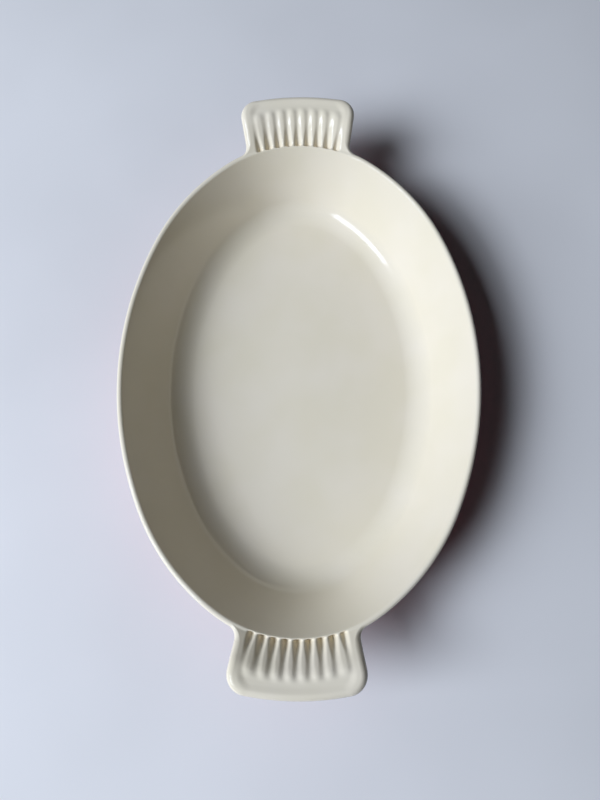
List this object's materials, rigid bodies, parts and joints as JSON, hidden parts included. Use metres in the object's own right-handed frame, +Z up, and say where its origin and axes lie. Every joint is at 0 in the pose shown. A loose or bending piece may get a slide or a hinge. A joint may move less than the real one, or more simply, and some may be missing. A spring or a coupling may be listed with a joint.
{
  "type": "gratin dish",
  "caption": "Oval enamelled cast iron gratin dish with sloping walls, a low foot ring and a fluted, upswept lug at each end.",
  "frame": {"origin": "centre of the plane that the foot ring rests on", "axes": "+Z up out of the dish, +Y along its length through the lugs, +X across it"},
  "size_m": [0.215, 0.357, 0.0575],
  "materials": {
    "cast_iron": "ground bare on the foot, covered everywhere else",
    "interior_enamel": "fired gloss enamel, cream",
    "exterior_enamel": "fired gloss enamel, dusty rose, inferred"
  },
  "bodies": {
    "root": {"casting": "cast_iron", "interior_enamel": "interior_enamel", "exterior_enamel": "exterior_enamel", "base_enamel": "exterior_enamel"}
  },
  "joints": []
}
